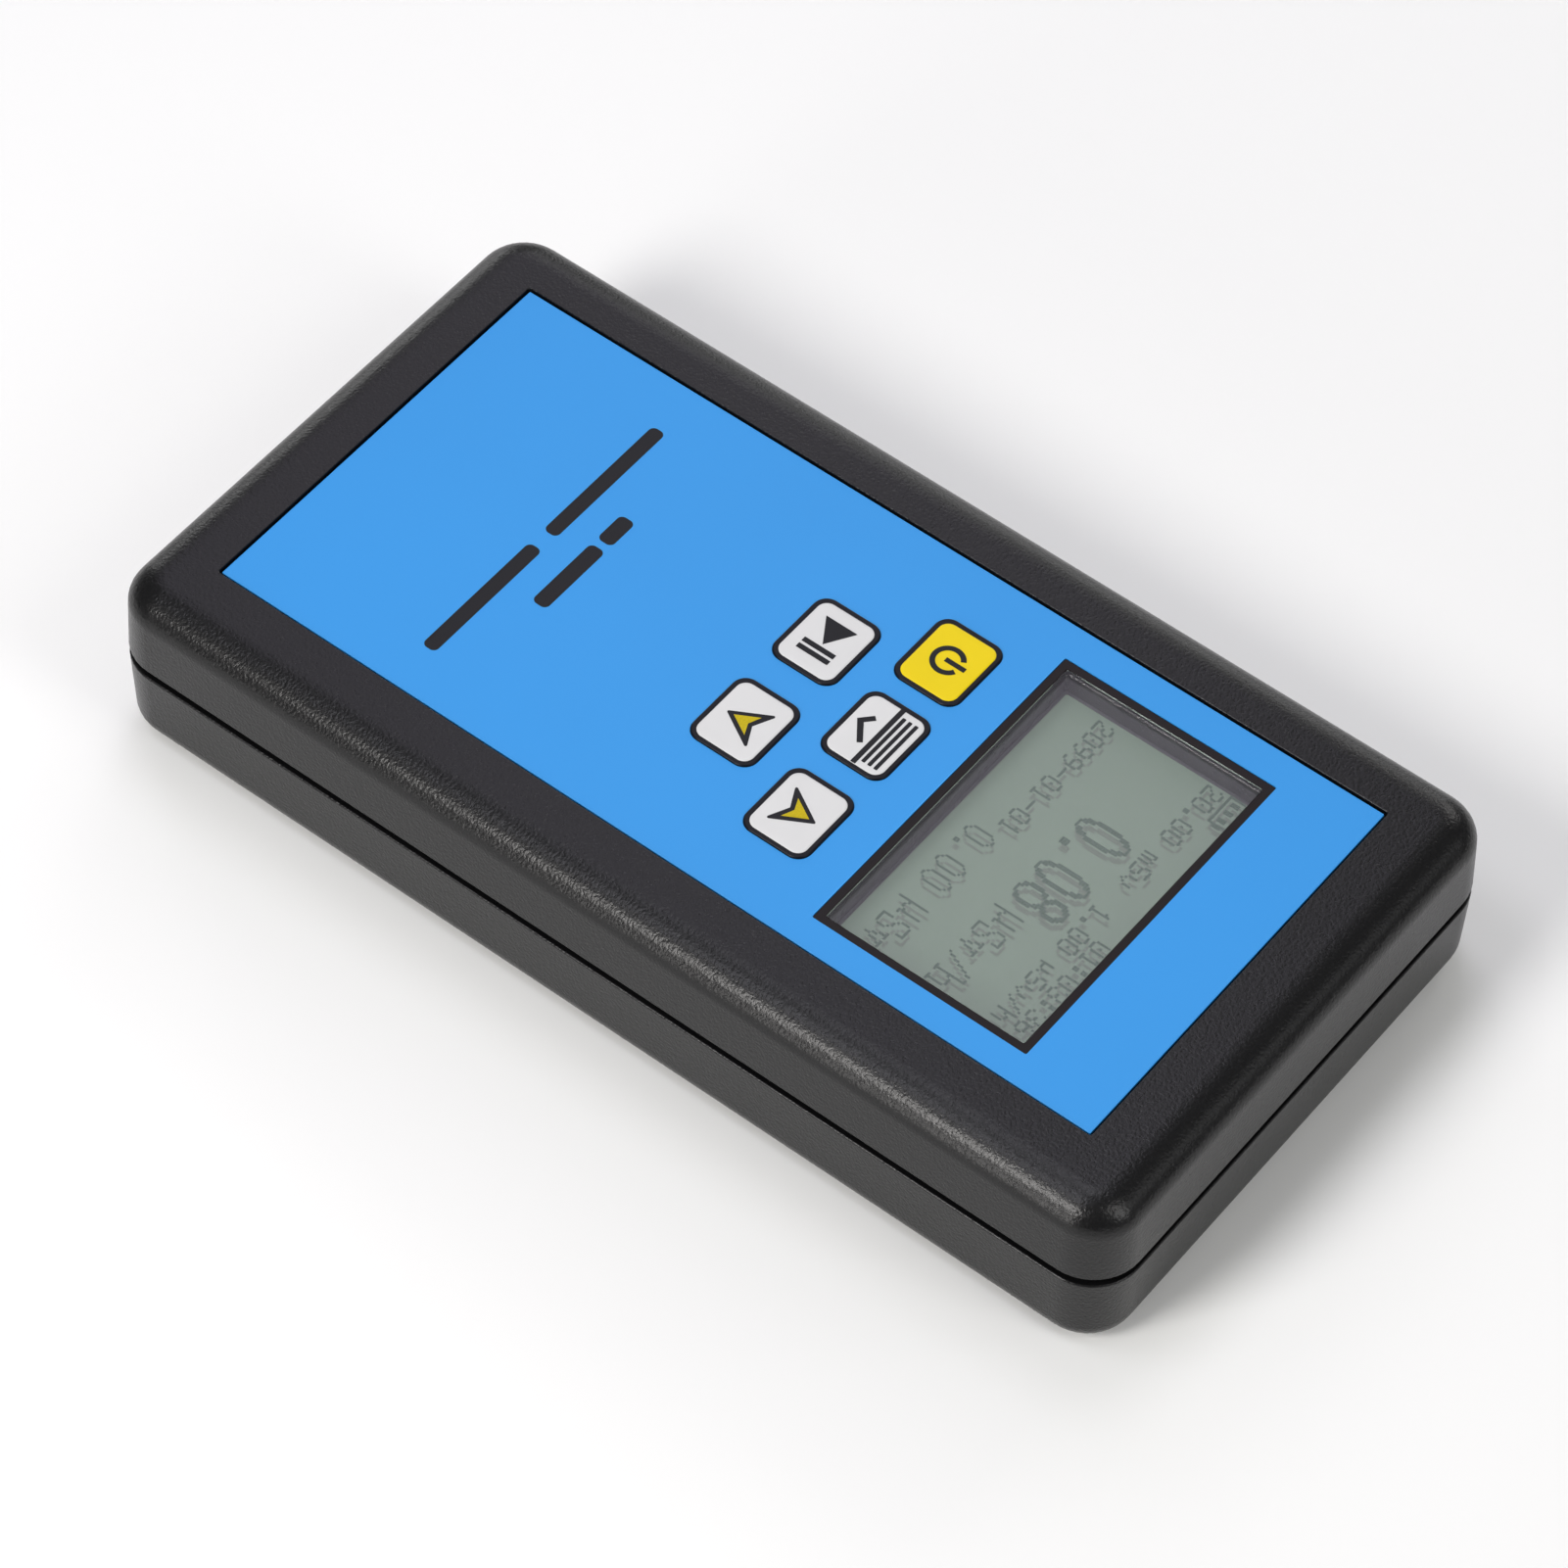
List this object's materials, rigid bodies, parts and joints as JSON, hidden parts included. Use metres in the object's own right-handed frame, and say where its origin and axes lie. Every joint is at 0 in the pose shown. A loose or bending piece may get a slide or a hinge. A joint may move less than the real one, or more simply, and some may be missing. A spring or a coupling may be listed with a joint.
{
  "type": "geiger counter",
  "caption": "Handheld geiger counter: flat two-part case, blue front overlay with a sunken display and five sprung keys, board with a geiger tube, sliding battery door.",
  "frame": {"origin": "middle of the flat rear face, under the centre of the case", "axes": "+X to the user's right, +Y to the display end, +Z out of the front face"},
  "size_m": [0.08, 0.1536, 0.0261],
  "materials": {
    "case_black": "fine spark-eroded texture",
    "overlay_film": "printed polycarbonate film, satin",
    "window_acrylic": "clear, polished",
    "key_white": "satin, printed icon",
    "key_yellow": "satin, printed icon",
    "component_black": "moulded",
    "tinned_metal": "tinned",
    "screw_steel": "zinc plated",
    "spring_steel": "nickel plated",
    "display_glass": "grey-green reflective display",
    "diffuser_white": "translucent white",
    "rubber_black": "matte",
    "circuit_board": "solder mask, semi-gloss",
    "tube_glass": "smoked glass with a dark coating",
    "ferrite": "sintered",
    "capacitor_sleeve": "shrink sleeve",
    "cell_jacket": "plain printed jacket"
  },
  "bodies": {
    "root": {"rear_shell": "case_black", "front_shell": "case_black", "front_overlay": "overlay_film", "spring_bridge": "spring_steel", "spring_negative": "spring_steel", "geiger_tube": "tube_glass", "cell_1": "cell_jacket", "cell_2": "cell_jacket", "main_board": "circuit_board", "buzzer": "component_black", "case_screw_1": "screw_steel", "case_screw_2": "screw_steel", "case_screw_3": "screw_steel", "case_screw_4": "screw_steel", "window_border": "case_black", "display_holder": "case_black", "clock_cell": "tinned_metal", "board_screw_1": "screw_steel", "board_screw_2": "screw_steel", "board_screw_3": "screw_steel", "board_screw_4": "screw_steel", "tube_clip_lower": "tinned_metal", "tube_clip_upper": "tinned_metal", "reservoir_capacitor": "capacitor_sleeve", "switch_power": "tinned_metal", "switch_menu": "tinned_metal", "switch_up": "tinned_metal", "switch_play": "tinned_metal", "switch_down": "tinned_metal", "window_lens": "window_acrylic", "display_glass": "display_glass", "display_backlight": "diffuser_white", "transformer": "ferrite", "microcontroller": "component_black", "contact_positive": "spring_steel", "contact_negative": "spring_steel", "display_connector": "rubber_black", "clock_crystal": "tinned_metal", "contact_bridge": "spring_steel"},
    "power_key": {"key_power": "key_yellow", "plunger_power": "component_black"},
    "menu_key": {"key_menu": "key_white", "plunger_menu": "component_black"},
    "up_key": {"key_up": "key_white", "plunger_up": "component_black"},
    "play_key": {"key_play": "key_white", "plunger_play": "component_black"},
    "down_key": {"key_down": "key_white", "plunger_down": "component_black"},
    "door": {"battery_door": "case_black"}
  },
  "joints": [
    {"name": "power_key_press", "type": "slide", "parent": "root", "child": "power_key", "axis": [0, 0, -1], "range_m": [0, 0.0003], "stiffness_N_per_m": 4000, "springref_m": -0.0002},
    {"name": "menu_key_press", "type": "slide", "parent": "root", "child": "menu_key", "axis": [0, 0, -1], "range_m": [0, 0.0003], "stiffness_N_per_m": 4000, "springref_m": -0.0002},
    {"name": "up_key_press", "type": "slide", "parent": "root", "child": "up_key", "axis": [0, 0, -1], "range_m": [0, 0.0003], "stiffness_N_per_m": 4000, "springref_m": -0.0002},
    {"name": "play_key_press", "type": "slide", "parent": "root", "child": "play_key", "axis": [0, 0, -1], "range_m": [0, 0.0003], "stiffness_N_per_m": 4000, "springref_m": -0.0002},
    {"name": "down_key_press", "type": "slide", "parent": "root", "child": "down_key", "axis": [0, 0, -1], "range_m": [0, 0.0003], "stiffness_N_per_m": 4000, "springref_m": -0.0002},
    {"name": "battery_door_slide", "type": "slide", "parent": "root", "child": "door", "axis": [0, -1, 0], "range_m": [0, 0.008]}
  ]
}
